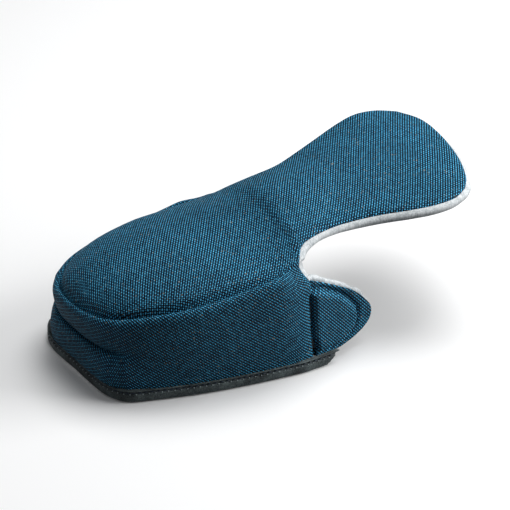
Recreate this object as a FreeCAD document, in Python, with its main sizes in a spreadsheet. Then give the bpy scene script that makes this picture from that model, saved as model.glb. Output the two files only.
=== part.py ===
"""Hollow padded liner: a moulded hood with a deep side wall, two folding end flaps and a long
flared paddle. Every padded zone is a laminate of three layers: face fabric, foam and lining.

Frame: millimetres, +X from the closed toe towards the paddle's tip, +Z up, the hem strip's
bottom edge on Z = 0, and the origin under the middle of the whole part.
"""
import FreeCAD, Part
import Sketcher
import math
import os

doc = FreeCAD.newDocument("padded_liner")

# ---------------------------------------------------------------------------------------------
# Driving dimensions, in millimetres and degrees
# ---------------------------------------------------------------------------------------------
DIMENSIONS = {
    # the three layers of the padding
    "cover_thick": 0.8, "foam_thick": 4.0, "lining_thick": 0.8,
    # plan of the side wall: toe end, widest station and open end
    "toe_end": 119, "mid_station": 13, "open_end": 11,
    "toe_half": 46, "mid_half": 58.5, "end_half": 55,
    "toe_skew": 9, "toe_corner": 26, "mid_bend": 90, "wall_top": 80,
    # crown: a barrel on a base plane that climbs from the toe
    "crown_radius": 105, "crown_rise": 15, "crown_slope": 10, "crease_level": 40,
    "crown_front": 119.5, "toe_round": 24, "barrel_depth": 40, "crease_drop": 8, "crease_gap": 0.2,
    # paddle: a flatter barrel that starts at the neck's crest
    "paddle_radius": 220, "paddle_slope": 4.5, "neck_crest": 79, "paddle_reach": 150,
    # hem strip and its stitches
    "strip_height": 6.6, "strip_width": 3, "strip_inset": 1,
    "stitch_pitch": 4, "stitch_length": 2.4, "stitch_thick": 0.6, "stitch_level": 5,
    # flex line at the neck
    "neck_line": 18, "neck_gap": 3.4,
    # fold line of the end flaps, and the flap's outline from that line
    "groove_line": -3, "groove_gap": 2.4, "flap_floor": 7.4, "flap_top": 49,
    "flap_back_x": 27, "flap_back_z": 37, "flap_tip_x": 39, "flap_tip_z": 25,
    "flap_heel_x": 37, "flap_heel_z": 14, "flap_foot_x": 18, "flap_turn": 10,
    "flap_tip_round": 6, "pad_margin": 5,
    # notch between the wall and the paddle
    "notch_radius": 9, "notch_station": 0, "notch_level": 64,
    # raised pad in the toe end
    "toe_pad_half": 22, "toe_pad_floor": 9, "toe_pad_height": 21,
}

dims = doc.addObject("Spreadsheet::Sheet", "dims")
for row, (alias, size) in enumerate(DIMENSIONS.items(), start=1):
    dims.set(f"A{row}", alias)
    dims.set(f"B{row}", str(size))
    dims.setAlias(f"B{row}", alias)
doc.recompute()


def size(alias):
    """One driving dimension as a plain number."""
    return float(getattr(dims, alias))


def qualified(expression):
    """Put the sheet's name before every alias in an expression."""
    words = sorted(DIMENSIONS, key=len, reverse=True)
    marks = {word: f"@{number}@" for number, word in enumerate(words)}
    for word, mark in marks.items():
        expression = expression.replace(word, mark)
    for word, mark in marks.items():
        expression = expression.replace(mark, f"dims.{word}")
    return expression


def value(expression):
    """The number that an expression of driving dimensions gives now."""
    answer = dims.evalExpression(qualified(expression))
    return float(getattr(answer, "Value", answer))


# ---------------------------------------------------------------------------------------------
# Building blocks
# ---------------------------------------------------------------------------------------------
def origin_plane(body, role):
    return next(item for item in body.Origin.OriginFeatures if item.Role == role)


def polygon_sketch(body, name, role, corners, level="0"):
    """A closed polygon whose corners are pairs of expressions, on one of the body's planes."""
    sketch = body.newObject("Sketcher::SketchObject", name)
    sketch.AttachmentSupport = [(origin_plane(body, role), "")]
    sketch.MapMode = "FlatFace"
    sketch.setExpression("AttachmentOffset.Base.z", qualified(level))
    points = [FreeCAD.Vector(value(across), value(along), 0) for across, along in corners]
    for start, end in zip(points, points[1:] + points[:1]):
        sketch.addGeometry(Part.LineSegment(start, end), False)
    for edge in range(len(points)):
        following = (edge + 1) % len(points)
        sketch.addConstraint(Sketcher.Constraint("Coincident", edge, 2, following, 1))
    for edge, (across, along) in enumerate(corners):
        for kind, expression in (("DistanceX", across), ("DistanceY", along)):
            number = sketch.addConstraint(
                Sketcher.Constraint(kind, -1, 1, edge, 1, value(expression)))
            sketch.setExpression(f"Constraints[{number}]", qualified(expression))
    return sketch


def new_body(name):
    return doc.addObject("PartDesign::Body", name)


def pad(body, sketch, height):
    feature = body.newObject("PartDesign::Pad", body.Name + "_pad")
    feature.Profile = sketch
    feature.setExpression("Length", qualified(height))
    doc.recompute()
    return feature


def rounded(body, base, radius, wanted):
    """Fillet the upright edges of a pad for which wanted(x, y) is true."""
    names = []
    for number, edge in enumerate(base.Shape.Edges, start=1):
        low, high = edge.Vertexes[0].Point, edge.Vertexes[-1].Point
        upright = abs(low.x - high.x) < CLOSE and abs(low.y - high.y) < CLOSE
        if upright and wanted(low.x, low.y):
            names.append(f"Edge{number}")
    fillet = body.newObject("PartDesign::Fillet", body.Name + "_round_" + str(len(body.Group)))
    fillet.Base = (base, names)
    fillet.setExpression("Radius", qualified(radius))
    doc.recompute()
    return fillet


def joined(kind, name, base, tool):
    """A Part boolean of two objects: Cut or Common."""
    feature = doc.addObject("Part::" + kind, name)
    feature.Base = base
    feature.Tool = tool
    return feature


def box(name, corner, lengths):
    """A Part::Box from expressions for its lowest corner and its three lengths."""
    feature = doc.addObject("Part::Box", name)
    for side, expression in zip(("Length", "Width", "Height"), lengths):
        feature.setExpression(side, qualified(expression))
    for axis, expression in zip("xyz", corner):
        feature.setExpression(f"Placement.Base.{axis}", qualified(expression))
    return feature


def from_shape(name, shape):
    """A Part::Feature for a form that neither a sketch nor a primitive gives."""
    feature = doc.addObject("Part::Feature", name)
    feature.Shape = shape
    return feature


INSETS = {
    "outside": "0",
    "cover_back": "cover_thick",
    "foam_back": "(cover_thick + foam_thick)",
    "inside": "(cover_thick + foam_thick + lining_thick)",
}
LAYERS = {
    "cover": ("outside", "cover_back"),
    "foam": ("cover_back", "foam_back"),
    "lining": ("foam_back", "inside"),
}
ROOM = 60          # how far the cutting blocks reach past the part
CLOSE = 0.01       # mm within which two places or lengths count as the same
HOOD, PADDLE, NEAR_FLAP, FAR_FLAP = [], [], [], []


# ---------------------------------------------------------------------------------------------
# Side wall: one band that runs along the near side, round the toe and along the far side
# ---------------------------------------------------------------------------------------------
def wall_block(name, inset, floor, height):
    """The solid inside the wall's plan outline, moved in by inset; its open end runs past."""
    body = new_body(name)
    corners = [
        (f"-toe_end + toe_skew + {inset}", f"-toe_half + {inset}"),
        ("-mid_station", f"-mid_half + {inset}"),
        ("open_end", f"-end_half + {inset}"),
        ("open_end + 10 * cover_thick", f"-end_half + {inset}"),
        ("open_end + 10 * cover_thick", f"end_half - {inset}"),
        ("open_end", f"end_half - {inset}"),
        ("-mid_station", f"mid_half - {inset}"),
        (f"-toe_end - toe_skew + {inset}", f"toe_half - {inset}"),
    ]
    outline = polygon_sketch(body, name + "_plan", "XY_Plane", corners, floor)
    block = pad(body, outline, height)
    toe = rounded(body, block, f"toe_corner - {inset}", lambda x, y: x < -size("toe_end") / 2)
    middle = -size("mid_station")
    rounded(body, toe, "mid_bend", lambda x, y: abs(x - middle) < 1)
    return body


# ---------------------------------------------------------------------------------------------
# Crown and paddle: barrels turned about one sloping axis, trimmed to a shared plan outline
# ---------------------------------------------------------------------------------------------
BARREL_ANGLE = 100     # degrees of turn, enough to reach past the widest station
CROWN = {
    "radius": "crown_radius", "slope": "crown_slope",
    "crest_x": "-crown_front - crown_rise * sin(crown_slope * 1 deg)",
    "crest_z": "crease_level + crown_rise * cos(crown_slope * 1 deg)",
}
BLADE = {
    "radius": "paddle_radius", "slope": "paddle_slope",
    "crest_x": "neck_line", "crest_z": "neck_crest",
}


def barrel(name, inset, surface, start, end, front_round=None):
    """A turned block whose top is a barrel surface, moved in by inset.

    surface names the expressions of its radius, its slope and the place of its crest at
    the local origin; front_round is the radius that rounds the front rim, if any.
    """
    body = new_body(name)
    low = f"{surface['radius']} - barrel_depth"
    top = f"{surface['radius']} - {inset}"
    corners = [(start, low), (start, top), (end, top), (end, low)]
    profile = polygon_sketch(body, name + "_profile", "XZ_Plane", corners)
    turned = body.newObject("PartDesign::Revolution", name + "_turn")
    turned.Profile = profile
    turned.ReferenceAxis = (profile, ["H_Axis"])
    turned.Angle = BARREL_ANGLE
    turned.Midplane = True
    doc.recompute()
    if front_round:
        rim = [f"Edge{number}" for number, edge in enumerate(turned.Shape.Edges, start=1)
               if hasattr(edge.Curve, "Radius") and abs(edge.Curve.Radius - value(top)) < CLOSE
               and abs(edge.CenterOfMass.x - value(start)) < CLOSE]
        fillet = body.newObject("PartDesign::Fillet", name + "_front")
        fillet.Base = (turned, rim)
        fillet.setExpression("Radius", qualified(f"{front_round} - {inset}"))
    turn = f"{surface['slope']} * 1 deg"
    body.Placement.Rotation = FreeCAD.Rotation(FreeCAD.Vector(0, 1, 0), -value(surface["slope"]))
    body.setExpression("Placement.Base.x", qualified(
        f"{surface['crest_x']} + {surface['radius']} * sin({turn})"))
    body.setExpression("Placement.Base.z", qualified(
        f"{surface['crest_z']} - {surface['radius']} * cos({turn})"))
    doc.recompute()
    return body


# Half-widths of the top at stations along X: round toe, waist at the neck, flared paddle.
TOP_PLAN = [(-113, 28), (-104, 38.5), (-88, 46), (-53, 52.5), (-13, 54), (-1, 48), (12, 38),
            (26, 35), (47, 39.5), (72, 49.5), (92, 54.5), (107, 46), (117, 26)]
TOE_TIP, PADDLE_TIP = -119.5, 120.5
SKEW_RATE = 0.0013     # the far half reaches further out at both ends


def skewed(x, y):
    return FreeCAD.Vector(x + SKEW_RATE * x * y, y, 0)


def top_plan_prism(name, low_x, high_x, margin=0.0):
    """The plan outline of crown and paddle as a tall block, kept between two stations."""
    near = [skewed(x, -(half + margin)) for x, half in TOP_PLAN]
    far = [skewed(x, half + margin) for x, half in reversed(TOP_PLAN)]
    tip = [FreeCAD.Vector(PADDLE_TIP + margin, 0, 0)]
    toe = [FreeCAD.Vector(TOE_TIP - margin, 0, 0)]
    curve = Part.BSplineCurve()
    curve.interpolate(Points=near + tip + far + toe, PeriodicFlag=True)
    block = Part.Face(Part.Wire(curve.toShape())).extrude(FreeCAD.Vector(0, 0, 2 * ROOM))
    slab = Part.makeBox(high_x - low_x, 4 * ROOM, 4 * ROOM,
                        FreeCAD.Vector(low_x, -2 * ROOM, -ROOM))
    return from_shape(name, block.common(slab))


def sloping_box(name, drop, thick):
    """A slab parallel to the crown's base plane, whose underside lies drop below that plane."""
    slab = box(name, ("0", "0", "0"), ("6 * crown_front", "6 * mid_half", thick))
    slab.Placement.Rotation = FreeCAD.Rotation(FreeCAD.Vector(0, 1, 0), -size("crown_slope"))
    turn = "crown_slope * 1 deg"
    back = "2 * crown_front"
    slab.setExpression("Placement.Base.x", qualified(
        f"-crown_front - {back} * cos({turn}) + ({drop}) * sin({turn})"))
    slab.setExpression("Placement.Base.y", qualified("-3 * mid_half"))
    slab.setExpression("Placement.Base.z", qualified(
        f"crease_level - {back} * sin({turn}) - ({drop}) * cos({turn})"))
    return slab


def layers_of(region, blocks, bounds):
    """Cover, foam and lining between nested blocks, trimmed by each bounding object in turn."""
    pieces = []
    for layer, (outer, inner) in LAYERS.items():
        piece = joined("Cut", f"{region}_{layer}_skin", blocks[outer], blocks[inner])
        for number, bound in enumerate(bounds):
            piece = joined("Common", f"{region}_{layer}_{number}", piece, bound)
        pieces.append((f"{region}_{layer}", piece))
    return pieces


neck = size("neck_line")
half_gap = size("neck_gap") / 2
crown_end = "crown_front + neck_line + mid_half"
crown_blocks = {name: barrel(f"crown_{name}", inset, CROWN, inset, crown_end, "toe_round")
                for name, inset in INSETS.items()}
paddle_blocks = {name: barrel(f"paddle_{name}", inset, BLADE, "-neck_line", "paddle_reach")
                 for name, inset in INSETS.items()}
crown_plan = top_plan_prism("crown_plan", -3 * ROOM, neck - half_gap)
paddle_plan = top_plan_prism("paddle_plan", neck + half_gap, 3 * ROOM)
above_crease = sloping_box("above_crease", "crease_drop - crease_gap", "wall_top")
HOOD += layers_of("crown", crown_blocks, [crown_plan, above_crease])
PADDLE += layers_of("paddle", paddle_blocks, [paddle_plan])

# The wall fills what lies under the crown, and stops at the notch and at the open end.
below_crease = sloping_box("below_crease", "crease_drop + 2 * wall_top", "2 * wall_top")
clear_inside = f"({INSETS['inside']} + crease_gap)"
under_crown = barrel("under_crown", clear_inside, CROWN, clear_inside, crown_end, "toe_round")
wall_room = doc.addObject("Part::MultiFuse", "wall_room")
wall_room.Shapes = [below_crease, under_crown]
open_end_cut = box("open_end_cut", ("groove_line - groove_gap / 2", "-2 * mid_half", "0"),
                   ("4 * open_end", "4 * mid_half", "2 * wall_top"))
notch = doc.addObject("Part::Cylinder", "notch")
notch.setExpression("Radius", qualified("notch_radius"))
notch.setExpression("Height", qualified("4 * mid_half"))
notch.Placement.Rotation = FreeCAD.Rotation(FreeCAD.Vector(1, 0, 0), 90)
notch.setExpression("Placement.Base.x", qualified("notch_station"))
notch.setExpression("Placement.Base.y", qualified("2 * mid_half"))
notch.setExpression("Placement.Base.z", qualified("notch_level"))
wall_end_cut = doc.addObject("Part::MultiFuse", "wall_end_cut")
wall_end_cut.Shapes = [open_end_cut, notch]

wall_blocks = {name: wall_block(f"wall_{name}", inset, "strip_height", "wall_top")
               for name, inset in INSETS.items()}
wall_layers = {}
for layer, (outer, inner) in LAYERS.items():
    ring = joined("Cut", f"wall_{layer}_ring", wall_blocks[outer], wall_blocks[inner])
    under = joined("Common", f"wall_{layer}_under", ring, wall_room)
    wall_layers[layer] = joined("Cut", f"wall_{layer}_trimmed", under, wall_end_cut)

# A denser raised pad sits in the toe end, in a pocket of the wall foam.
toe_pad_box = box("toe_pad_box", ("-toe_end - 2 * toe_skew", "-toe_pad_half", "toe_pad_floor"),
                  ("toe_corner", "2 * toe_pad_half", "toe_pad_height"))
HOOD.append(("wall_cover", wall_layers["cover"]))
HOOD.append(("wall_foam", joined("Cut", "wall_foam", wall_layers["foam"], toe_pad_box)))
HOOD.append(("toe_pad", joined("Common", "toe_pad", wall_layers["foam"], toe_pad_box)))
HOOD.append(("wall_lining", wall_layers["lining"]))

# ---------------------------------------------------------------------------------------------
# Hem strip along the wall's bottom edge, and the row of stitches that holds it
# ---------------------------------------------------------------------------------------------
strip_outer = wall_block("strip_outer", "strip_inset", "0", "strip_height")
strip_inner = wall_block("strip_inner", "(strip_inset + strip_width)", "0", "strip_height")
strip_ring = joined("Cut", "strip_ring", strip_outer, strip_inner)
strip_end_cut = box("strip_end_cut", ("open_end", "-2 * mid_half", "-strip_height"),
                    ("4 * open_end", "4 * mid_half", "4 * strip_height"))
HOOD.append(("hem_strip", joined("Cut", "hem_strip", strip_ring, strip_end_cut)))
doc.recompute()


def hem_stitches():
    """Stitches as short bars at even pitch round the strip's outer face."""
    outline = doc.getObject("strip_outer").Shape.slice(FreeCAD.Vector(0, 0, 1),
                                                       size("stitch_level"))[0]
    count = int(outline.Length / size("stitch_pitch"))
    long_side, thick = size("stitch_length"), size("stitch_thick")
    bars = []
    places = outline.discretize(Number=count + 1)
    for here, following in zip(places, places[1:]):
        if max(here.x, following.x) > size("open_end") - long_side:
            continue
        along = following - here
        bar = Part.makeBox(long_side, 2 * thick, thick,
                           FreeCAD.Vector(-long_side / 2, -thick, -thick / 2))
        bar.Placement = FreeCAD.Placement(
            here, FreeCAD.Rotation(FreeCAD.Vector(0, 0, 1),
                                   math.degrees(math.atan2(along.y, along.x))))
        bars.append(bar.cut(doc.getObject("strip_outer").Shape))
    return Part.makeCompound(bars)


HOOD.append(("hem_stitches", from_shape("hem_stitches", hem_stitches())))

# ---------------------------------------------------------------------------------------------
# End flaps: flat three-layer lobes with a triangular pad, folding on an upright line
# ---------------------------------------------------------------------------------------------
TOTAL = "(cover_thick + foam_thick + lining_thick)"
GROOVE = "(groove_gap / 2)"


TIP_SHARE = 1.3     # the pad's tip steps back further than its other corners
TIP_SPAN = 3        # mm short of the heel from which an edge belongs to the tip


def lobe_corners(margin):
    """Corners of the flap's outline, moved in by margin."""
    return [(f"{GROOVE} + {margin}", f"flap_floor + {margin}"),
            (f"{GROOVE} + {margin}", f"flap_top - 2 * {margin}"),
            (f"flap_back_x - {margin} / 2", f"flap_back_z - {margin}"),
            (f"flap_tip_x - {TIP_SHARE} * {margin}", f"flap_tip_z - {margin} / 2"),
            (f"flap_heel_x - {margin}", f"flap_heel_z + {margin} / 2"),
            (f"flap_foot_x - {margin} / 2", f"flap_floor + {margin}")]


def lobe(name, margin, outer, thick):
    """The flap's outline as a plate; outer is how far its face lies behind the outside."""
    body = new_body(name)
    outline = polygon_sketch(body, name + "_outline", "XZ_Plane", lobe_corners(margin))
    plate = body.newObject("PartDesign::Pad", name + "_pad")
    plate.Profile = outline
    plate.setExpression("Length", qualified(thick))
    plate.Reversed = True
    doc.recompute()
    tip = [f"Edge{number}" for number, edge in enumerate(plate.Shape.Edges, start=1)
           if edge.Length < value(thick) + CLOSE
           and edge.CenterOfMass.x > value("flap_heel_x") - TIP_SHARE * value(margin) - TIP_SPAN]
    fillet = body.newObject("PartDesign::Fillet", name + "_tip")
    fillet.Base = (plate, tip)
    fillet.setExpression("Radius", qualified("flap_tip_round / 2"))
    body.Placement.Rotation = FreeCAD.Rotation(FreeCAD.Vector(0, 0, 1), size("flap_turn"))
    turn = "flap_turn * 1 deg"
    depth = f"({outer} - {TOTAL} / 2)"
    body.setExpression("Placement.Base.x", qualified(f"groove_line - {depth} * sin({turn})"))
    body.setExpression("Placement.Base.y",
                       qualified(f"-(mid_half + end_half) / 2 + {TOTAL} / 2"
                                 f" + {depth} * cos({turn})"))
    doc.recompute()
    return body


cover_lobe = lobe("near_flap_cover", "0 * pad_margin", "0", "cover_thick")
foam_lobe = lobe("flap_foam_block", "0 * pad_margin", "cover_thick", "foam_thick")
pad_lobe = lobe("near_flap_pad", "pad_margin", "cover_thick", "foam_thick")
lining_lobe = lobe("near_flap_lining", "0 * pad_margin", "(cover_thick + foam_thick)",
                   "lining_thick")
near_foam = joined("Cut", "near_flap_foam", foam_lobe, pad_lobe)
NEAR_FLAP += [("near_flap_cover", cover_lobe), ("near_flap_foam", near_foam),
              ("near_flap_pad", pad_lobe), ("near_flap_lining", lining_lobe)]
for near_name, near_piece in NEAR_FLAP:
    mirror = doc.addObject("Part::Mirroring", near_name.replace("near", "far"))
    mirror.Source = near_piece
    mirror.Normal = (0, 1, 0)
    FAR_FLAP.append((mirror.Name, mirror))

# ---------------------------------------------------------------------------------------------
# Check every object, then write one file per sub-part
# ---------------------------------------------------------------------------------------------
doc.recompute()
for item in doc.Objects:
    if "Invalid" in item.State or "Error" in item.State:
        raise RuntimeError(f"{item.Name} failed: {item.State}")

os.makedirs("parts", exist_ok=True)
whole = FreeCAD.BoundBox()
for name, item in HOOD + PADDLE + NEAR_FLAP + FAR_FLAP:
    item.Label = name
    shape = item.Shape
    if shape.isNull() or not shape.isValid() or not shape.Solids:
        raise RuntimeError(f"{name} has no valid solid")
    whole.add(shape.BoundBox)
    shape.exportStep(f"parts/{name}.step")
    print(f"{name:18s} solids {len(shape.Solids):3d}  volume {shape.Volume:9.1f} mm3")
print("box", [round(number, 2) for number in (whole.XMin, whole.XMax, whole.YMin, whole.YMax,
                                              whole.ZMin, whole.ZMax)])
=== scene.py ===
# %% [markdown]
# # A padded protective liner, piece by piece
# The real object is a soft cap cut from three bonded layers: a coarse woven polyester cover, a
# sheet of closed-cell foam, and a light grey brushed lining. A hood closes over the toe, a broad
# paddle reaches out of its open end, and two short flaps stand beside the opening. A coated strip
# is sewn along the hem. The imported model gives the frame: bodies, joints and the whole size.
# Everything here is drawn round that frame, in metres; the strip and its stitches move with the
# hood's body.

# %% Load the frame
import math

import bmesh
import bpy
import numpy as np
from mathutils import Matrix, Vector


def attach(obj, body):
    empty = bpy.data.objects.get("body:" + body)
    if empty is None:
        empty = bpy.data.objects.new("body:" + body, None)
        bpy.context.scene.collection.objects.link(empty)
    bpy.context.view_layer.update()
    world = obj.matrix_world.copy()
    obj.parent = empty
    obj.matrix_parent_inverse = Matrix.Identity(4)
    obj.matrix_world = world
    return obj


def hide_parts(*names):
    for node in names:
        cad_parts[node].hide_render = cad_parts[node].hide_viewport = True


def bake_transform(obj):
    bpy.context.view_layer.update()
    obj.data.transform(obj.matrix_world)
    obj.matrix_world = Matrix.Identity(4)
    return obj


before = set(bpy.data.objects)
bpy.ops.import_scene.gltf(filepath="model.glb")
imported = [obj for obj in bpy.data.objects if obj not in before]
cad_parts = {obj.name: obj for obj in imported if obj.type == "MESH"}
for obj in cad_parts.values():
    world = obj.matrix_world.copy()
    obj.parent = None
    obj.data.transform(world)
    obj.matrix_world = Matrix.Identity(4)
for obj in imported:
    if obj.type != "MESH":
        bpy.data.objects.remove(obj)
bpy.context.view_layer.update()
MM = 0.001

# %% [markdown]
# ## Camera, light and floor
# A camera far away with a long lens flattens the view the way a catalogue picture does. The
# distance, the turn and the height are plain numbers, so the camera's place is worked out from
# them. The floor is pale, and it belongs to the stage, not to the object.

# %% Camera
TURN, HEIGHT = math.radians(-29), math.radians(29)
DISTANCE, AIM = 1150 * MM, Vector((-7, 3, 40)) * MM
SENSOR_MM, PICTURE_SIDE, MM_PER_DOT = 36.0, 510, 0.55

back = Vector((math.sin(TURN) * math.cos(HEIGHT), -math.cos(TURN) * math.cos(HEIGHT),
               math.sin(HEIGHT)))
camera = bpy.data.objects.new("camera", bpy.data.cameras.new("camera"))
camera.data.sensor_width = SENSOR_MM
camera.data.lens = SENSOR_MM * DISTANCE / MM / (PICTURE_SIDE * MM_PER_DOT)
camera.data.clip_start, camera.data.clip_end = 0.05, 20
camera.location = AIM + back * DISTANCE
camera.rotation_euler = back.to_track_quat("Z", "Y").to_euler()
bpy.context.collection.objects.link(camera)
bpy.context.scene.camera = camera
print("camera at", [round(c, 3) for c in camera.location], "lens", round(camera.data.lens, 1))


# %% Colours and nodes
def linear(hex_colour, alpha=1.0):
    """An sRGB hex colour as Blender's linear colour."""
    parts = [int(hex_colour[k : k + 2], 16) / 255 for k in (1, 3, 5)]
    return [c / 12.92 if c <= 0.04045 else ((c + 0.055) / 1.055) ** 2.4 for c in parts] + [alpha]


def add(tree, kind, inputs=None, **settings):
    """Adds one node with its settings. inputs holds a value, or a socket to link from, by name."""
    made = tree.nodes.new(kind)
    for key, value in settings.items():
        setattr(made, key, value)
    for key, value in (inputs or {}).items():
        if isinstance(value, bpy.types.NodeSocket):
            tree.links.new(value, made.inputs[key])
        else:
            made.inputs[key].default_value = value
    return made


def new_material(name):
    """An empty material with its Principled shader: (material, node tree, shader)."""
    made = bpy.data.materials.new(name)
    made.use_nodes = True
    return made, made.node_tree, made.node_tree.nodes["Principled BSDF"]


# %% Studio
HORIZON = (-0.05, 0.1)        # the room turns from dim to bright between these heights of view
ROOM_LIGHT = (0.05, 0.2)      # its strength below and above them
FLOOR_HALF, FLOOR_GAP = 3.0, 0.5      # m, and the mm by which the floor lies below the ground
world = bpy.data.worlds.new("studio")
world.use_nodes = True
tree = world.node_tree
sky = add(tree, "ShaderNodeTexCoord")
level = add(tree, "ShaderNodeSeparateXYZ", {"Vector": sky.outputs["Generated"]})
glow = add(tree, "ShaderNodeMapRange", {"Value": level.outputs["Z"],
                                        "From Min": HORIZON[0], "From Max": HORIZON[1],
                                        "To Min": ROOM_LIGHT[0], "To Max": ROOM_LIGHT[1]})
tree.nodes["Background"].inputs["Color"].default_value = linear("#f4f7fa")
tree.links.new(glow.outputs[0], tree.nodes["Background"].inputs["Strength"])
bpy.context.scene.world = world
bpy.context.scene.view_settings.view_transform = "Standard"

LAMPS = {  # name: (place in m, side in m, watts)
    "key": ((0.35, 0.20, 1.20), 0.80, 11.5),
    "side": ((1.00, -0.50, 0.55), 0.80, 15.0),
}
for name, (place, side, watts) in LAMPS.items():
    lamp = bpy.data.objects.new(name, bpy.data.lights.new(name, "AREA"))
    lamp.data.shape, lamp.data.size, lamp.data.energy = "SQUARE", side, watts
    lamp.location = place
    lamp.rotation_euler = (Vector(place) - AIM).to_track_quat("Z", "Y").to_euler()
    bpy.context.collection.objects.link(lamp)

# matt white paint: it takes a soft shadow and gives no gloss
floor_paint, tree, shader = new_material("painted_studio_floor")
shader.inputs["Base Color"].default_value = linear("#fafafa")
shader.inputs["Roughness"].default_value = 0.9
shader.inputs["Specular IOR Level"].default_value = 0.1
bm = bmesh.new()
bmesh.ops.create_grid(bm, x_segments=2, y_segments=2, size=FLOOR_HALF)
floor_mesh = bpy.data.meshes.new("floor")
bm.to_mesh(floor_mesh)
bm.free()
floor = bpy.data.objects.new("floor", floor_mesh)
floor.location.z = -FLOOR_GAP * MM
floor_mesh.materials.append(floor_paint)
bpy.context.collection.objects.link(floor)
floor.visible_diffuse = False     # a white floor would light the dark walls from below
print("lamps:", len(LAMPS))

# %% [markdown]
# ## The lines that the maker marks on the cloth
# Everything soft follows a few lines: the crease where the crown meets the walls, the edge of the
# paddle, the hem. A few listed points, in mm, and one smooth curve through them are enough, and
# every piece that shares a line takes it from the same points.

# %% Curves through points
FINE_STEPS = 24       # steps of a curve from one given point to the next


def run_along(points):
    """How far each point of a line lies from its first one, along the line."""
    return np.concatenate([[0], np.cumsum(np.linalg.norm(np.diff(points, axis=0), axis=1))])


def through(points, count):
    """A smooth curve through the points, as count + 1 places at even steps along it."""
    given = [np.array(p, float) for p in points]
    given = [2 * given[0] - given[1], *given, 2 * given[-1] - given[-2]]
    fine = []
    for a, b, c, d in zip(given, given[1:], given[2:], given[3:]):
        for t in np.linspace(0, 1, FINE_STEPS, endpoint=False):
            fine.append(0.5 * (2 * b + (c - a) * t + (2 * a - 5 * b + 4 * c - d) * t**2
                               + (3 * b - a - 3 * c + d) * t**3))
    fine = np.array([*fine, given[-2]])
    run = run_along(fine)
    steps = np.linspace(0, run[-1], count + 1)
    return np.stack([np.interp(steps, run, fine[:, k]) for k in range(fine.shape[1])], axis=1)


def eased(value, low, high):
    """0 below low, 1 above high, and a soft step between them."""
    t = np.clip((value - low) / (high - low), 0, 1)
    return t * t * (3 - 2 * t)


# %% The lines of the hood and the paddle
NEAR_CREASE = [(-106, -32, 45.5), (-97, -39.5, 48), (-80, -48.5, 51.5), (-62, -52.5, 54),
               (-43, -54.5, 57), (-27, -55.5, 60), (-17, -54.5, 62.7), (-10.5, -51.8, 65)]
NEAR_EDGE = [(-10.5, -51.8, 65), (-8, -47.5, 68), (-3, -44, 69.5), (5, -41, 70.5),
             (18, -38.2, 71), (32, -38, 71.3), (46, -41.5, 72.8), (60, -48, 75),
             (73, -52.5, 76.8), (86, -52.8, 78.2), (96, -47.5, 79.6)]
TOE = [(-106, -32, 45.5), (-111.5, -24, 43.5), (-116, -9, 41.7), (-117.3, 8, 40.7),
       (-115.2, 23, 40), (-107.5, 34.5, 41)]
TIP = [(96, -47.5, 79.6), (103, -38, 80.4), (110.5, -21, 81.1), (115, -4, 82),
       (117, 13, 83), (116.5, 30, 83.6), (110.5, 45, 83.5)]
FAR_CREASE = [(-107.5, 34.5, 41), (-95, 43, 43), (-80, 48, 45.5), (-62, 50.5, 48),
              (-43, 51.5, 50.5), (-27, 51, 54), (-17, 49, 57), (-9, 46, 60)]
FAR_EDGE = [(-9, 46, 60), (-3, 43, 63.5), (8, 38.5, 68.5), (24, 36, 73), (40, 39.5, 76.5),
            (56, 44.5, 79.5), (72, 50, 82), (86, 53.5, 83.5), (99, 52, 83.8), (110.5, 45, 83.5)]
HEM_NEAR = [(-4, -58.3), (-15, -58.8), (-43, -55.6), (-70, -50.8), (-94, -44), (-105.5, -39)]
HEM_TOE = [(-105.5, -39), (-111.8, -30), (-114.3, -18), (-115.8, 2), (-117.8, 24), (-115.5, 37)]
HEM_FAR = [(-115.5, 37), (-107, 47.5), (-85, 52.5), (-62, 55), (-43, 56), (-25, 57), (-4, 56.6)]
NEAR_NOTCH = [(-10.5, -51.8, 65), (-11.3, -53.4, 61), (-9, -54.8, 56.5), (-5.8, -56, 52),
              (-6.2, -57, 47), (-5.2, -57.5, 30), (-4, -57.8, 12), (-3, -58, 3)]
FAR_NOTCH = [(-9, 46, 60), (-11, 49.5, 58), (-9, 53, 55.5), (-5.8, 55.5, 52),
             (-6.2, 56.3, 47), (-5.2, 56.6, 30), (-4, 56.6, 12), (-3, 56.5, 3)]
HOOD_CELLS, PADDLE_CELLS, WIDTH_CELLS, WALL_ROWS = 42, 44, 44, 34

near_line = np.vstack([through(NEAR_CREASE, HOOD_CELLS), through(NEAR_EDGE, PADDLE_CELLS)[1:]])
far_line = np.vstack([through(FAR_CREASE, HOOD_CELLS), through(FAR_EDGE, PADDLE_CELLS)[1:]])
toe_line, tip_line = through(TOE, WIDTH_CELLS), through(TIP, WIDTH_CELLS)
LENGTH_CELLS = HOOD_CELLS + PADDLE_CELLS
print("cells along and across the top:", LENGTH_CELLS, WIDTH_CELLS)

# %% [markdown]
# ## The crown and the paddle
# On the real object one panel of cloth covers the crown and runs out over the paddle. A flat grid
# is the natural start for cloth: its four sides are laid on the four border lines, the inside
# follows them, and a height is added where the foam crowns. The dome is full in the hood, rises
# fast out of the crease at the toe, and flattens to a gentle curve on the paddle.

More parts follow.
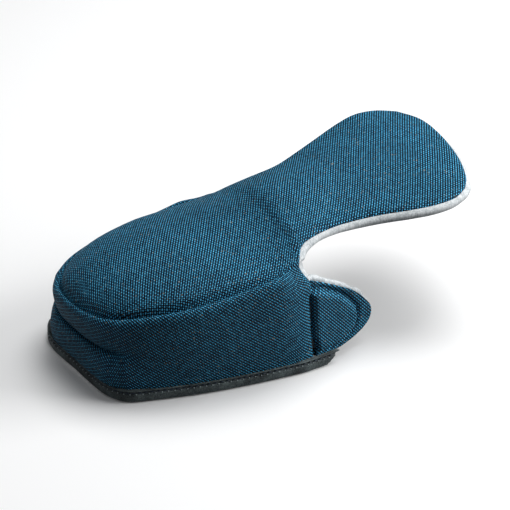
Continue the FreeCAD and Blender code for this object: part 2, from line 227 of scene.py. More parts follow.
# %% Heights of the crown
CROWN_RISE = [(-120, 15.5), (-60, 15.5), (-30, 14.5), (-6, 12.8), (20, 9.0), (50, 5.5),
              (80, 3.6), (118, 2.4)]      # (mm along, mm of height)
CROWN_HALF = 50.0     # mm from the crease over which the crown swells
EDGE_PUFF, BLUNT = 0.58, 6    # share of the rise that comes right at the crease, and how squarely
CREASE_DROP = 1.6     # mm by which the thread pulls the crease down
NOTCH_FADE = (-28, -10)       # mm along: the crease is full before it and gone after it
PUFF_FADE = (-64, -6)         # mm along over which that share goes
CELL_LONG, TIP_ROUND = 2.55, 16.0     # mm: a cell of the paddle, and its tip's rounded edge
crease_line = np.vstack([near_line[: HOOD_CELLS + 1], toe_line, far_line[: HOOD_CELLS + 1]])


def patch(u, w, near, far, start, end):
    """A place inside four border lines: u runs along, w across, both 0 to 1."""
    at_u, at_w = round(u * (len(near) - 1)), round(w * (len(start) - 1))
    ruled = (1 - w) * near[at_u] + w * far[at_u] + (1 - u) * start[at_w] + u * end[at_w]
    corners = ((1 - u) * ((1 - w) * near[0] + w * far[0]) + u * ((1 - w) * near[-1] + w * far[-1]))
    return ruled - corners


def crown_height(u, w, x, y):
    """How far the padded crown stands above its border lines."""
    fade = eased(x, *NOTCH_FADE)
    away = min(np.linalg.norm(crease_line[:, :2] - (x, y), axis=1).min() / CROWN_HALF, 1)
    side = (1 - away) + (abs(2 * w - 1) - (1 - away)) * fade
    puff = EDGE_PUFF * (1 - eased(x, *PUFF_FADE))
    dome = (1 - puff) * (1 - side**2) + puff * (1 - side**BLUNT) ** 0.5
    rise = np.interp(x, *zip(*CROWN_RISE))
    tip = min((1 - u) * LENGTH_CELLS * CELL_LONG / TIP_ROUND, 1)
    return rise * dome * (1 - (1 - tip) ** 2) ** 0.5


print("crest over the middle of the hood:", round(crown_height(0.25, 0.5, -60, 0), 1))

# %% [markdown]
# ## The walls
# Each wall panel leaves the crease outwards, rolls over a padded shoulder and drops to the hem. A
# profile like that is easiest to draw as a walk: short steps, each with a direction. The toe has
# one more roll, a pressed groove, and a pad below it. The hood's border edges of the grid are
# extruded once for each step, so the walls share the crown's own vertices and nothing can gap.

# %% Profiles of the walls
WALL_FOOT = 3.0       # mm above the ground where the cloth ends behind the strip
SIDE_WALK = [(0.0, 65), (0.035, 45), (0.07, 5), (0.13, -48), (0.2, -80), (0.5, -90), (0.8, -93),
             (1.0, -96)]
TOE_WALK = [(0.0, 65), (0.035, 45), (0.07, 5), (0.13, -50), (0.2, -88), (0.38, -108), (0.46, -140),
            (0.49, -150), (0.5, 15), (0.57, 5), (0.6, -30), (0.68, -58), (0.79, -82), (0.9, -102),
            (1.0, -125)]
NOTCH_WALK = [(0.0, -25), (0.1, -50), (0.25, -75), (0.4, -88), (1.0, -96)]
ROW_SPREAD = 1.25     # rows lie closer together near the crease
WALK_STEPS = 400      # short steps of a walk
TOE_LONGER = 1.12     # the toe's walk is longer than its drop, because it folds
TOE_FACING = (0.55, 0.9)      # a column takes the toe's profile as it turns to face the toe
OUTWARD_PASSES = 6    # times that the columns' outward directions are evened


def walk(turns, length):
    """Places (outward, down) of each row after walking the profile from the crease."""
    shares = (np.arange(WALL_ROWS + 1) / WALL_ROWS) ** ROW_SPREAD
    fine = np.linspace(0, 1, WALK_STEPS)
    angles = np.radians(np.interp(fine, *zip(*turns)))
    out = np.concatenate([[0], np.cumsum(np.cos(angles[:-1]))]) * length / WALK_STEPS
    down = np.concatenate([[0], np.cumsum(np.sin(angles[:-1]))]) * length / WALK_STEPS
    return shares, np.interp(shares, fine, out), np.interp(shares, fine, down)


def wall_places(side_walk, toe_walk):
    """Every wall vertex as an array (row, column, xyz) in mm."""
    crease = np.vstack([near_line[HOOD_CELLS:0:-1], toe_line[:-1], far_line[: HOOD_CELLS + 1]])
    hem = np.vstack([through(HEM_NEAR, HOOD_CELLS)[:-1], through(HEM_TOE, WIDTH_CELLS)[:-1],
                     through(HEM_FAR, HOOD_CELLS)])
    tangent = np.gradient(crease[:, :2], axis=0)
    for _ in range(OUTWARD_PASSES):
        tangent[1:-1] = (tangent[:-2] + 2 * tangent[1:-1] + tangent[2:]) / 4
    tangent /= np.linalg.norm(tangent, axis=1)[:, None]
    outward = np.stack([-tangent[:, 1], tangent[:, 0]], axis=1)
    crease[:, 2] -= CREASE_DROP * (1 - eased(crease[:, 0], *NOTCH_FADE))
    places = np.zeros((WALL_ROWS + 1, len(crease), 3))
    for column, (top, foot, away) in enumerate(zip(crease, hem, outward)):
        toe_share = eased(-away[0], *TOE_FACING)
        drop = top[2] - WALL_FOOT
        shares, side_out, side_down = walk(side_walk, drop)
        toe_out, toe_down = walk(toe_walk, drop * TOE_LONGER)[1:]
        plain_out, plain_down = walk(NOTCH_WALK, drop)[1:]
        fade = eased(top[0], *NOTCH_FADE)
        out = side_out + (toe_out - side_out) * toe_share + (plain_out - side_out) * fade
        down = side_down + (toe_down - side_down) * toe_share + (plain_down - side_down) * fade
        down = down * drop / -down[-1]
        reach = (foot - top[:2]) @ away
        out = out + (reach - out[-1]) * shares
        slide = (foot - top[:2]) - away * reach
        places[:, column, :2] = top[:2] + out[:, None] * away + slide * shares[:, None]
        places[:, column, 2] = top[2] + down
    return places


# %% The walls beside the notch
NOTCH_REACH = 5.0     # columns over which the walls follow the notch's own line
NOTCH_STEPS = 120     # steps of that line
PRESS_TOP, PRESS_FADE = 47, 5         # mm: height of the groove's top, and how fast it starts there
WALL_DIVE = 2.4       # mm by which the cover turns in at the groove
NEXT_SHARE = 0.12     # share of that in the next column


def walls_with(side_walk, toe_walk, dive):
    """The walls between notch and notch; dive is how deep they turn in beside the flaps, in mm."""
    made = wall_places(side_walk, toe_walk)
    for first, step, line in ((0, 1, NEAR_NOTCH), (-1, -1, FAR_NOTCH)):
        notch = through(line, NOTCH_STEPS)
        for row, place in enumerate(made[:, first].copy()):
            own = np.array([np.interp(-place[2], -notch[:, 2], notch[:, k]) for k in (0, 1)])
            for column in range(1 + 3 * round(NOTCH_REACH)):
                share = math.exp(-((column / NOTCH_REACH) ** 2))
                made[row, first + step * column, :2] += (own - place[:2]) * share
            pressed = dive * eased(PRESS_TOP - place[2], 0, PRESS_FADE) * step
            made[row, first, 1] += pressed
            made[row, first + step, 1] += NEXT_SHARE * pressed
    return made


walls = walls_with(SIDE_WALK, TOE_WALK, WALL_DIVE)
lining_walls = walls_with(NOTCH_WALK, NOTCH_WALK, 0)      # plain: no rolls, no groove
print("wall columns and rows:", walls.shape[1], walls.shape[0])

# %% [markdown]
# ## Where the weave lies
# A woven pattern has to follow the cloth, so the mesh carries it as a UV map in metres of cloth,
# worked out from where each vertex lies. On top the two sets of yarn cross at a slant; over the
# crease they turn down the walls. The material then only has to count yarns.

# %% Cloth coordinates
YARN_A, YARN_B = 1.37, 1.07   # mm from yarn to yarn, the two ways
TOP_A, TOP_B = (0.85, -0.525), (0.555, 0.832)       # which way each yarn is counted on top
WALL_A, WALL_B = (0.743, -0.706), (1.016, 0.446)    # and on a wall: along the hem, and down
DOME_END = -60        # mm along: beyond it the toe's dome drops away on all sides
TAKE_UP = 0.5         # mm of cloth that each mm of drop takes up


def counted(ways, first, second):
    """Cloth coordinates in mm of a place that is (first, second) mm along two directions."""
    return np.array([way[0] * first + way[1] * second for way in ways])


def top_cloth(x, y, lost):
    """Cloth coordinates on the crown and the paddle; lost is how far the dome has dropped there,
    because cloth that drops away takes up more of its length."""
    away = Vector((min(x - DOME_END, 0), y)).normalized() * TAKE_UP * lost
    return counted((TOP_A, TOP_B), x + away.x, y + away.y)


def wall_cloth(along, down):
    """Cloth coordinates on a wall or a flap."""
    return counted((WALL_A, WALL_B), along, down)


hem_run = run_along(walls[WALL_ROWS // 2, :, :2])
down_run = np.concatenate([np.zeros((1, walls.shape[1])),
                           np.cumsum(np.linalg.norm(np.diff(walls, axis=0), axis=2), axis=0)])
print("wall cloth at the toe, mm down:", down_run[-1, walls.shape[1] // 2].round(1))


def cloth_piece(name, bm, cloth_at):
    """The bmesh as an object, with its cloth coordinates as the UV map called cloth, in metres."""
    layer = bm.loops.layers.uv.new("cloth")
    for face in bm.faces:
        face.smooth = True
        for corner in face.loops:
            corner[layer].uv = cloth_at(face, corner.vert) * MM
    mesh = bpy.data.meshes.new(name)
    bm.to_mesh(mesh)
    bm.free()
    piece = bpy.data.objects.new(name, mesh)
    bpy.context.collection.objects.link(piece)
    return piece


# %% Moving a sheet in
TOE_SUNK, TOE_START = 7.0, (88, 100)          # mm: how deep, and how far out that starts
TOE_SUNK_TOP, TOE_SUNK_FADE = 42, 6           # mm: height of its top, and how fast it starts there
GROOVE_LINE, GROOVE_WIDE = -4.5, 4.5          # mm along: what parts the walls from the flaps
GROOVE_SUNK, GROOVE_TOP, GROOVE_FADE = 6.0, 49, 4
BORDER_PASSES, CORNER_PASSES = 8, 14          # times that moves and places are evened
CORNER_FROM, CORNER_TO, CORNER_ABOVE = -16, 6, 53     # mm along and up: the notch's corner


def sunk(place):
    """Extra depth in mm of the lining, where the cover above it is pressed in."""
    x, z = place.x / MM, place.z / MM
    toe = eased(-x, *TOE_START) * eased(TOE_SUNK_TOP - z, 0, TOE_SUNK_FADE)
    groove = math.exp(-(((x - GROOVE_LINE) / GROOVE_WIDE) ** 2))
    return max(TOE_SUNK * toe, GROOVE_SUNK * groove * eased(GROOVE_TOP - z, 0, GROOVE_FADE))


def moved_in(bm, depth, grown):
    """Moves a sheet in by depth, and its border vertices out by what grown says for their place."""
    bm.normal_update()
    border = [v for v in bm.verts if v.is_boundary]
    way, share = {}, {}
    for v in border:
        inner = [e.other_vert(v).co for e in v.link_edges if not e.is_boundary]
        way[v] = (v.co - sum(inner, Vector()) / len(inner)).normalized() if inner else Vector()
        share[v] = grown(v.co)
    beside = {v: [e.other_vert(v) for e in v.link_edges if e.is_boundary] for v in border}
    for _ in range(BORDER_PASSES):      # neighbours move alike, so the border can't cross itself
        way = {v: (2 * way[v] + sum((way[n] for n in beside[v]), Vector())).normalized()
               for v in border}
        share = {v: (2 * share[v] + sum(share[n] for n in beside[v])) / 4 for v in border}
    for v in bm.verts:
        v.co -= v.normal * (depth + sunk(v.co)) * MM
    for v in border:
        v.co += way[v] * share[v] * MM
    for v in border:
        if len(v.link_edges) == 2:      # a corner of the grid follows its two neighbours
            v.co = (beside[v][0].co + beside[v][1].co) / 2
    corner = [v for v in border if CORNER_FROM * MM < v.co.x < CORNER_TO * MM
              and v.co.z > CORNER_ABOVE * MM]
    for _ in range(CORNER_PASSES):
        evened = {v: (2 * v.co + sum((n.co for n in beside[v]), Vector())) / 4 for v in corner}
        for v, place in evened.items():
            v.co = place


def layered(piece, thickness):
    """Gives a cloth sheet its thickness, inwards, and rounds its cut edge."""
    wall = piece.modifiers.new("thickness", "SOLIDIFY")
    wall.thickness, wall.offset, wall.use_even_offset = thickness * MM, -1, False
    soft = piece.modifiers.new("soft", "SUBSURF")
    soft.levels = soft.render_levels = 1
    soft.use_limit_surface = False


# %% [markdown]
# ## One sheet, used twice
# The woven cover and the grey lining are cut to nearly the same shape, so one function makes both
# sheets. The lining lies further in, most of all where the cover is pressed in at the toe and at
# the flaps. Along the paddle and the notch it is a little larger, so that its brushed edge shows
# beyond the cover, and elsewhere it ends a little short.

# %% The sheet of the hood and the paddle
TURN_DOWN = 1.1       # mm by which the cover turns down at the paddle's near edge
LIP, FAR_LIP = 3.8, 2.2       # mm that the brushed edge shows beyond the cover, near and far
LIP_TURN = (-10, 25)          # mm across: from the near edge's ways to the far edge's
HELD_BACK = -0.6      # mm: where the lining ends short of the cover
LIP_FLOOR = 51.0      # mm above the ground: the hood's edge shows its lining only above this
SOFT_TO, SOFT_ACROSS, SOFT_ABOVE = 4, 40, 50  # mm: bounds of the cloth evened beside the notch
SOFT_PASSES, SOFT_STEP = 10, 1.6      # times, and the mm by which each one starts further on


def hood_lip(place):
    """How far the lining's edge shows at a place on the hood or the paddle, in mm."""
    if place.z < LIP_FLOOR * MM:
        return HELD_BACK
    return LIP + (FAR_LIP - LIP) * eased(place.y / MM, *LIP_TURN)


def hood_sheet(name, shape, depth):
    """The crown, paddle and walls as one open sheet, moved in by depth; shape holds the places
    of its walls."""
    bm = bmesh.new()
    bmesh.ops.create_grid(bm, x_segments=LENGTH_CELLS, y_segments=WIDTH_CELLS, size=0.5)
    place_of, on_top, on_wall = {}, {}, {}
    for v in bm.verts:
        u, w = v.co.x + 0.5, v.co.y + 0.5
        place_of[round(u * LENGTH_CELLS), round(w * WIDTH_CELLS)] = v
        x, y, z = patch(u, w, near_line, far_line, toe_line, tip_line)
        height = crown_height(u, w, x, y)
        on_top[v] = top_cloth(x, y, np.interp(x, *zip(*CROWN_RISE)) - height)
        v.co = Vector((x, y, z + height)) * MM
    ring = ([place_of[k, 0] for k in range(HOOD_CELLS, 0, -1)]
            + [place_of[0, k] for k in range(WIDTH_CELLS)]
            + [place_of[k, WIDTH_CELLS] for k in range(HOOD_CELLS + 1)])
    for row in range(WALL_ROWS + 1):
        if row:
            edges = [bm.edges.get((a, b)) for a, b in zip(ring, ring[1:])]
            made = bmesh.ops.extrude_edge_only(bm, edges=edges)["geom"]
            fresh = {v for v in made if isinstance(v, bmesh.types.BMVert)}
            ring = [next(e.other_vert(v) for e in v.link_edges if e.other_vert(v) in fresh)
                    for v in ring]
        for column, v in enumerate(ring):
            v.co = Vector(shape[row, column]) * MM
            on_wall[v] = wall_cloth(-hem_run[column], down_run[row, column])
    soften = [v for v in bm.verts if not v.is_boundary
              and NOTCH_FADE[0] * MM < v.co.x < SOFT_TO * MM
              and abs(v.co.y) > SOFT_ACROSS * MM and v.co.z > SOFT_ABOVE * MM]
    for k in range(SOFT_PASSES):
        near_notch = [v for v in soften if v.co.x > (NOTCH_FADE[0] + SOFT_STEP * k) * MM]
        bmesh.ops.smooth_vert(bm, verts=near_notch, factor=0.5,
                              use_axis_x=True, use_axis_y=True, use_axis_z=True)
    bmesh.ops.recalc_face_normals(bm, faces=bm.faces)
    if depth:
        moved_in(bm, depth, hood_lip)
    else:
        for v in bm.verts:
            if v.is_boundary and v.co.x > 0 and v.co.z > LIP_FLOOR * MM:
                v.co.z -= TURN_DOWN * (1 - eased(v.co.y / MM, *LIP_TURN)) * MM

    def cloth_at(face, v):
        places = on_wall if all(corner in on_wall for corner in face.verts) else on_top
        return places[v]

    return cloth_piece(name, bm, cloth_at)


# %% Cover and lining of the hood and the paddle
COVER, BODY = 1.4, 4.2        # mm: the woven skin, and the foam with its lining
LINING_DEPTH = 1.1    # mm from the cover's face to the face of the foam, which the cover hides
cover = hood_sheet("hood_cover", walls, 0)
layered(cover, COVER)
lining = hood_sheet("hood_lining", lining_walls, LINING_DEPTH)
layered(lining, BODY)
for piece in (cover, lining):
    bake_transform(piece)
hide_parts("crown_cover", "crown_foam", "wall_cover", "wall_foam", "toe_pad",
            "paddle_cover", "paddle_foam")
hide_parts("crown_lining", "wall_lining", "paddle_lining")
print("faces in the sheet:", len(cover.data.polygons))

# %% [markdown]
# ## The flaps
# A flap is the end of the side panel beyond a pressed groove: a flat rounded tab with a thick
# wedge of foam under the cloth. The same border-line grid makes it, the cover is raised over the
# wedge inside its outline, and the lining stays flat behind. A flap is built flat, as (along, up)
# in mm, and then turned to its place, so the far one is the same work with the side changed.

# %% Shape of a flap
FLAP_GROOVE = [(2.3, 3.5), (2.0, 8), (-1.0, 20), (-1.3, 32), (-2.6, 46), (-1.8, 52.8)]
FLAP_TOP = [(-1.8, 52.8), (2.5, 50.4), (10.5, 45.8), (19, 41.5), (27.5, 36.5), (34.5, 30.5)]
FLAP_TIP = [(30, 6.6), (36.5, 9.9), (40.8, 14), (42, 18.8), (40.5, 23.5), (34.5, 30.5)]
FLAP_FOOT = [(2.3, 3.5), (10, 3.2), (20, 3.6), (30, 6.6)]
WEDGE = [(-6, 48), (5, 45.6), (13.6, 40.8), (21.5, 35.5), (26.8, 30.2), (30.6, 25), (31.6, 20),
         (30, 14.7), (26.5, 10.7), (14.4, 7.4), (-6, 5.0)]
WEDGE_RISE, WEDGE_ROLL = 3.0, 3.6     # mm: how far it stands out, and how wide its edge rolls
PRESSED, PRESSED_WIDE = 2.1, 1.5      # mm: depth and width of the pressed line round the wedge
FLAP_TURN = math.radians(10)
FLAP_ROOT = (-4.0, 55.5)
FLAP_LONG, FLAP_TALL = 32, 34         # cells
FLAP_PASSES = 20      # times that its cells are evened
FLAP_FLAT = -1.4      # mm: the lining lies flat under the wedge
FLAP_DIVE, DIVE_CELLS = 3.6, 0.9      # mm by which the cover turns in at the groove, and how wide
CLOTH_TOP = 60        # mm: the height from which a flap's cloth is counted down
FLAP_LIP = 2.5        # mm that the brushed edge shows along a flap's top
FLAP_LIP_FLOOR, GROOVE_SIDE, GROOVE_CORNER = 22, -2, 45       # mm up, along and up: its bounds


def wedge_height(along, up):
    """How far the wedge of foam lifts the cloth at a place of the flat flap."""
    inside = 1e9
    for (ax, ay), (bx, by) in zip(WEDGE, WEDGE[1:] + WEDGE[:1]):
        length = math.hypot(bx - ax, by - ay)
        inside = min(inside, ((by - ay) * (ax - along) + (bx - ax) * (up - ay)) / -length)
    swell = min(max(inside, 0) / WEDGE_ROLL, 1)
    pressed = PRESSED * math.exp(-((inside / PRESSED_WIDE) ** 2))
    return WEDGE_RISE * (1 - (1 - swell) ** 2) ** 0.5 - pressed


def flap_lip(place):
    """How far the lining's edge shows at a place on a flap, in mm: only its top edge does."""
    beyond = place.x > GROOVE_SIDE * MM or place.z > GROOVE_CORNER * MM
    return FLAP_LIP if beyond and place.z > FLAP_LIP_FLOOR * MM else HELD_BACK


def flap_sheet(name, side, depth):
    """One flap as an open sheet; side is -1 for the near flap and 1 for the far one."""
    lines = [through(line, FLAP_LONG) for line in (FLAP_FOOT, FLAP_TOP)]
    lines += [through(line, FLAP_TALL) for line in (FLAP_GROOVE, FLAP_TIP)]
    bm = bmesh.new()
    bmesh.ops.create_grid(bm, x_segments=FLAP_LONG, y_segments=FLAP_TALL, size=0.5)
    cloth, share_of = {}, {}
    for v in bm.verts:
        share_of[v] = v.co.x + 0.5
        along, up = patch(share_of[v], v.co.y + 0.5, *lines)
        v.co = Vector((along, 0, up))
    inside = [v for v in bm.verts if not v.is_boundary]
    for _ in range(FLAP_PASSES):        # cells would fold where the outline has no corner
        bmesh.ops.smooth_vert(bm, verts=inside, factor=0.5, use_axis_x=True, use_axis_z=True)
    for v in bm.verts:
        u, along, up = share_of[v], v.co.x, v.co.z
        dive = FLAP_DIVE * eased(PRESS_TOP - up, 0, PRESS_FADE)
        dive *= math.exp(-((u * FLAP_LONG / DIVE_CELLS) ** 2))
        out = FLAP_FLAT if depth else wedge_height(along, up) - dive
        cloth[v] = wall_cloth(along, CLOTH_TOP - up)
        x = FLAP_ROOT[0] + along * math.cos(FLAP_TURN) + out * math.sin(FLAP_TURN)
        y = FLAP_ROOT[1] - along * math.sin(FLAP_TURN) + out * math.cos(FLAP_TURN)
        v.co = Vector((x, side * y, up)) * MM
    bm.normal_update()
    if sum(f.normal.y for f in bm.faces) * side < 0:
        bmesh.ops.reverse_faces(bm, faces=bm.faces)
    if depth:
        moved_in(bm, depth, flap_lip)
    return cloth_piece(name, bm, lambda face, v: cloth[v])


# %% Near flap and far flap
flaps = {}
for body, side in (("near_flap", -1), ("far_flap", 1)):
    flap_cover = flap_sheet(f"{body}_cover", side, 0)
    layered(flap_cover, COVER)
    flap_lining = flap_sheet(f"{body}_lining", side, LINING_DEPTH)
    layered(flap_lining, BODY)
    for piece in (flap_cover, flap_lining):
        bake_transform(piece)
    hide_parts(f"{body}_cover", f"{body}_foam", f"{body}_pad")
    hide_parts(f"{body}_lining")
    flaps[body] = (flap_cover, flap_lining)
print("flap wedge at its middle:", round(wedge_height(14, 26), 1), "mm")

# %% [markdown]
# ## The hem strip and its stitches
# The hem is bound with a strip of coated webbing that stands a little proud of the cloth. It has a
# thin raised lip along its top and a groove under the lip where the stitches sit. One grid does
# it: along the hem one way, up the strip's own profile the other way, and a thickness behind.

# %% The strip
STRIP_LINE = [(11.5, -58.6), (4, -59.6), (-5, -60.2), (-15, -60.3), (-43, -57.2), (-70, -52.4),
              (-94, -45.8), (-107, -40.8), (-113.8, -31), (-116.3, -18), (-117.8, 2), (-119.8, 24),
              (-117.3, 38.4), (-108, 49.5), (-85, 54.4), (-62, 56.8), (-43, 57.8), (-25, 58.8),
              (-8, 58.8), (4, 58), (11.5, 57)]
STRIP_PROFILE = [(0.0, 0.0, -0.4), (0.05, 0.4, 0.1), (0.3, 2.2, 0.35), (0.55, 4.0, 0.3),
                 (0.62, 4.5, 0.1), (0.68, 4.8, -0.8), (0.84, 5.9, -0.9), (0.88, 6.2, 0.3),
                 (0.94, 6.8, 0.35), (1.0, 7.1, -0.8)]       # (share, mm up, mm out)
STRIP_CELLS, STRIP_RISE_CELLS, STRIP_THICK = 190, 18, 1.8
END_CUT = 9.0         # mm that the strip's top runs on beyond its foot
MERGE = 0.02          # mm between corners that become one
TOE_FACE = Vector((-118, 0, 3)) * MM  # a place on the strip's outer side

strip_line = through(STRIP_LINE, STRIP_CELLS)
strip_away = np.gradient(strip_line, axis=0)
strip_away = np.stack([-strip_away[:, 1], strip_away[:, 0]], axis=1)
strip_away /= np.linalg.norm(strip_away, axis=1)[:, None]
shares, rises, bulges = zip(*STRIP_PROFILE)
run = run_along(strip_line)


def on_strip(at, out, up):
    """A place on the strip: at mm along the hem, out mm from its face, up mm from the ground."""
    line, away = ([np.interp(at, run, values[:, k]) for k in (0, 1)]
                  for values in (strip_line, strip_away))
    return Vector((line[0] + away[0] * out, line[1] + away[1] * out, up)) * MM


bm = bmesh.new()
bmesh.ops.create_grid(bm, x_segments=STRIP_CELLS, y_segments=STRIP_RISE_CELLS, size=0.5)
for v in bm.verts:
    share = v.co.y + 0.5
    slant = (1 - share) * END_CUT       # both ends are cut on a slant
    at = min(max((v.co.x + 0.5) * run[-1], slant), run[-1] - slant)
    v.co = on_strip(at, np.interp(share, shares, bulges), np.interp(share, shares, rises))
bmesh.ops.remove_doubles(bm, verts=bm.verts, dist=MERGE * MM)
bmesh.ops.recalc_face_normals(bm, faces=bm.faces)
bm.normal_update()
middle = min(bm.faces, key=lambda f: (f.calc_center_median() - TOE_FACE).length)
if middle.normal.x > 0:
    bmesh.ops.reverse_faces(bm, faces=bm.faces)
strip = cloth_piece("hem_strip_cloth", bm, lambda face, v: np.zeros(2))
layered(strip, STRIP_THICK)
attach(strip, "hood")
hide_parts("hem_strip")
print("strip length in mm:", round(float(run[-1])))

# %% The stitches
STITCH_PITCH = 3.4    # mm
LONG_STITCH = (2.3, 0.9, 0.9)         # mm: a lying stitch along, across and up the hem
GLINT_DOT = (0.7, 0.8, 0.7)                # mm: the pale dot between two stitches, a painted glint
# each stitch is a navy lying stitch and a pale dot of painted glint
STITCH_PARTS = [(0.0, -0.45, 5.35, LONG_STITCH), (STITCH_PITCH / 2, 0.05, 4.7, GLINT_DOT)]
count = int((run[-1] - END_CUT) / STITCH_PITCH)
bm = bmesh.new()
for number in range(count):
    at = END_CUT / 2 + STITCH_PITCH * (number + 0.5)
    ahead = on_strip(at + 1, 0, 0) - on_strip(at - 1, 0, 0)
    turn = ahead.to_track_quat("X", "Z").to_matrix().to_4x4()
    for index, (shift, out, up, size) in enumerate(STITCH_PARTS):
        made = bmesh.ops.create_uvsphere(bm, u_segments=7, v_segments=5, radius=0.5)["verts"]
        bmesh.ops.scale(bm, vec=Vector(size) * MM, verts=made)
        bmesh.ops.transform(bm, matrix=turn, verts=made)
        bmesh.ops.translate(bm, vec=on_strip(at + shift, out, up), verts=made)
        for face in {f for v in made for f in v.link_faces}:
            face.material_index = index
            face.smooth = True
mesh = bpy.data.meshes.new("hem_thread")
bm.to_mesh(mesh)
bm.free()
thread = bpy.data.objects.new("hem_thread", mesh)
bpy.context.collection.objects.link(thread)
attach(thread, "hood")
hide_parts("hem_stitches")
print("stitches:", count)

# %% [markdown]
# ## Woven polyester
# The cover is a coarse plain weave of thick textured polyester yarn, dyed petrol blue, over a
# black backing that shows in the holes. To the eye it is a lattice of bright short floats with dark
# pits between them, nearly matt, with a little sheen at grazing angles. Two sine waves count the
# yarns of the UV map; their product says which yarn is on top, and the taller of the two is the
# surface. The colour darkens with that height, so the dark pits are partly the backing and partly
# painted shade between the yarns.

# %% Weave material
HALF_TURN = math.pi
YARN_ROUND = 0.8              # power that makes a sine wave as blunt as a thick yarn
LIFTS, RESTS = (0.38, -0.4), (0.62, 0.46)     # a yarn's rise when on top, and its height between
woven, tree, shader = new_material("woven_polyester_petrol_blue")
cloth_map = add(tree, "ShaderNodeUVMap", uv_map="cloth")
apart = add(tree, "ShaderNodeSeparateXYZ", {"Vector": cloth_map.outputs["UV"]})
waves = []
for socket, pitch in (("X", YARN_A), ("Y", YARN_B)):
    angle = add(tree, "ShaderNodeMath", {0: apart.outputs[socket], 1: HALF_TURN / (pitch * MM)},
                operation="MULTIPLY")
    waves.append(add(tree, "ShaderNodeMath", {0: angle.outputs[0]}, operation="SINE").outputs[0])
over = add(tree, "ShaderNodeMath", {0: waves[0], 1: waves[1]}, operation="MULTIPLY").outputs[0]
tall = []
for wave, lift, rest in zip(waves, LIFTS, RESTS):
    ridge = add(tree, "ShaderNodeMath", {0: wave}, operation="ABSOLUTE").outputs[0]
    ridge = add(tree, "ShaderNodeMath", {0: ridge, 1: YARN_ROUND}, operation="POWER").outputs[0]
    shown = add(tree, "ShaderNodeMath", {0: over, 1: lift, 2: rest}, operation="MULTIPLY_ADD")
    tall.append(add(tree, "ShaderNodeMath", {0: ridge, 1: shown.outputs[0]},
                    operation="MULTIPLY").outputs[0])
height = add(tree, "ShaderNodeMath", {0: tall[0], 1: tall[1]}, operation="MAXIMUM").outputs[0]

place = add(tree, "ShaderNodeTexCoord").outputs["Object"]
# slubs are about 2.4 mm long, and patches of lighter and darker dye about 26 mm
slubs = add(tree, "ShaderNodeTexNoise", {"Vector": place, "Scale": 420.0, "Detail": 2.0})
shade = add(tree, "ShaderNodeTexNoise", {"Vector": place, "Scale": 38.0, "Detail": 3.0})
uneven = add(tree, "ShaderNodeMath", {0: slubs.outputs["Fac"], 1: 0.3, 2: -0.15},
             operation="MULTIPLY_ADD")
wavering = add(tree, "ShaderNodeMath", {0: height, 1: uneven.outputs[0]},
               operation="ADD").outputs[0]
# colour by yarn height: the low end is painted shade in the pits over the black backing, the high
# end the blue floats
ramp = add(tree, "ShaderNodeValToRGB", {"Fac": wavering})
stops = ramp.color_ramp.elements
stops[0].position, stops[0].color = 0.49, linear("#010306")
stops[1].position, stops[1].color = 0.9, linear("#66d2ff")
for position, colour in ((0.61, "#042335"), (0.75, "#12719f")):
    stop = stops.new(position)
    stop.color = linear(colour)
dye = add(tree, "ShaderNodeMapRange", {"Value": shade.outputs["Fac"],
                                       "From Min": 0.3, "From Max": 0.7,
                                       "To Min": 0.88, "To Max": 1.1})
dyed = add(tree, "ShaderNodeVectorMath", {0: ramp.outputs["Color"], "Scale": dye.outputs[0]},
           operation="SCALE")
# a few pale flecks of fluff, about 1.1 mm
flecks = add(tree, "ShaderNodeTexNoise", {"Vector": place, "Scale": 900.0, "Detail": 0.0})
bright = add(tree, "ShaderNodeMapRange", {"Value": flecks.outputs["Fac"],
                                          "From Min": 0.74, "From Max": 0.82,
                                          "To Min": 0.0, "To Max": 0.5})
colour = add(tree, "ShaderNodeMix", {"Factor": bright.outputs[0], "A": dyed.outputs[0],
                                     "B": linear("#a89f8a")}, data_type="RGBA")
bump = add(tree, "ShaderNodeBump", {"Height": wavering, "Strength": 0.7, "Distance": 0.5 * MM})
tree.links.new(colour.outputs["Result"], shader.inputs["Base Color"])
tree.links.new(bump.outputs["Normal"], shader.inputs["Normal"])
shader.inputs["Roughness"].default_value = 0.68
shader.inputs["Specular IOR Level"].default_value = 0.12
shader.inputs["Sheen Weight"].default_value = 0.02
shader.inputs["Sheen Roughness"].default_value = 0.45
shader.inputs["Sheen Tint"].default_value = linear("#8fc3da")
print("cover:", woven.name, "yarns in mm:", YARN_A, YARN_B)

# %% [markdown]
# ## Brushed lining
# The lining is a knitted loop cloth, brushed so that its loops stand up as a short pile. The pile
# scatters light at its edge, so it looks soft and pale, with fine streaks across the cut edge and
# only a faint shadow between tufts.

# %% Lining material
brushed, tree, shader = new_material("brushed_knit_lining_light_grey")
place = add(tree, "ShaderNodeTexCoord").outputs["Object"]
combed = add(tree, "ShaderNodeMapping", {"Vector": place, "Scale": (1.0, 1.0, 0.35)})
# loops are about 0.9 mm, and tufts about 4 mm
pile = add(tree, "ShaderNodeTexNoise", {"Vector": combed.outputs["Vector"], "Scale": 1100.0,
                                        "Detail": 3.0, "Roughness": 0.6})
tufts = add(tree, "ShaderNodeTexNoise", {"Vector": place, "Scale": 260.0, "Detail": 2.0})
soft = add(tree, "ShaderNodeMath", {0: tufts.outputs["Fac"], 1: 0.6}, operation="MULTIPLY")
fluff = add(tree, "ShaderNodeMath", {0: pile.outputs["Fac"], 1: soft.outputs[0]}, operation="ADD")
ramp = add(tree, "ShaderNodeValToRGB", {"Fac": fluff.outputs[0]})
stops = ramp.color_ramp.elements
stops[0].position, stops[0].color = 0.55, linear("#a3abaf")
stops[1].position, stops[1].color = 0.98, linear("#e0e4e6")
bump = add(tree, "ShaderNodeBump", {"Height": fluff.outputs[0], "Strength": 0.6,
                                    "Distance": 0.35 * MM})
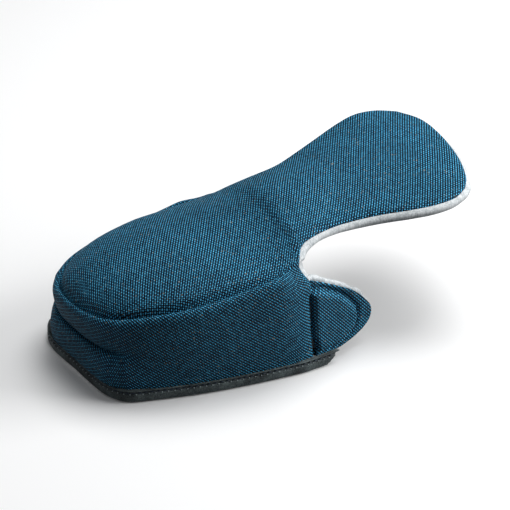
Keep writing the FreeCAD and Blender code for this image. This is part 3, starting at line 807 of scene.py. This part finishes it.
tree.links.new(ramp.outputs["Color"], shader.inputs["Base Color"])
tree.links.new(bump.outputs["Normal"], shader.inputs["Normal"])
shader.inputs["Roughness"].default_value = 0.9
shader.inputs["Specular IOR Level"].default_value = 0.2
shader.inputs["Sheen Weight"].default_value = 0.35
shader.inputs["Sheen Roughness"].default_value = 0.5
print("lining:", brushed.name)

# %% [markdown]
# ## Coated webbing and thread
# The strip is woven webbing with a charcoal rubber coating: nearly matt, grainy to the touch, with
# paler worn patches. The stitches are a twisted polyester thread. Its lying stitches are dark, and
# the pale dots between them are painted glints, where the thread catches the light.

# %% Strip and thread materials
# the coating's grain is about 0.7 mm, and its worn patches about 7 mm
coated, tree, shader = new_material("coated_webbing_charcoal")
place = add(tree, "ShaderNodeTexCoord").outputs["Object"]
grain = add(tree, "ShaderNodeTexNoise", {"Vector": place, "Scale": 1500.0, "Detail": 3.0})
wear = add(tree, "ShaderNodeTexNoise", {"Vector": place, "Scale": 140.0, "Detail": 3.0})
both = add(tree, "ShaderNodeMath", {0: grain.outputs["Fac"], 1: wear.outputs["Fac"]},
           operation="MULTIPLY")
ramp = add(tree, "ShaderNodeValToRGB", {"Fac": both.outputs[0]})
stops = ramp.color_ramp.elements
stops[0].position, stops[0].color = 0.12, linear("#10161a")
stops[1].position, stops[1].color = 0.42, linear("#697576")
bump = add(tree, "ShaderNodeBump", {"Height": grain.outputs["Fac"], "Strength": 0.35,
                                    "Distance": 0.15 * MM})
tree.links.new(ramp.outputs["Color"], shader.inputs["Base Color"])
tree.links.new(bump.outputs["Normal"], shader.inputs["Normal"])
shader.inputs["Roughness"].default_value = 0.62
shader.inputs["Specular IOR Level"].default_value = 0.3

# the pale second material is painted light: a glint on the thread between two stitches
THREADS = [("twisted_thread_navy", "#0a1420", "#1c3145"),
           ("thread_painted_glint_pale", "#6d7c84", "#b9c4c9")]
threads = []
for name, low, high in THREADS:
    made, tree, shader = new_material(name)
    place = add(tree, "ShaderNodeTexCoord").outputs["Object"]
    twist = add(tree, "ShaderNodeTexWave", {"Vector": place, "Scale": 900.0, "Distortion": 2.0})
    ramp = add(tree, "ShaderNodeValToRGB", {"Fac": twist.outputs["Fac"]})
    stops = ramp.color_ramp.elements
    stops[0].color, stops[1].color = linear(low), linear(high)
    tree.links.new(ramp.outputs["Color"], shader.inputs["Base Color"])
    shader.inputs["Roughness"].default_value = 0.6
    threads.append(made)
print("strip:", coated.name, "thread:", ", ".join(made.name for made in threads))

# %% [markdown]
# ## Finishes
# Every piece gets its material.

# %% Finishes on the pieces
finishes = [(cover, woven, "woven_cover"), (lining, brushed, "brushed_lining"),
            (strip, coated, "coated_strip")]
for flap_cover, flap_lining in flaps.values():
    finishes += [(flap_cover, woven, "woven_cover"), (flap_lining, brushed, "brushed_lining")]
for piece, finish, slot in finishes:
    piece.data.materials.append(finish)
for finish in threads:
    thread.data.materials.append(finish)
print("finished pieces:", len(finishes) + 1)
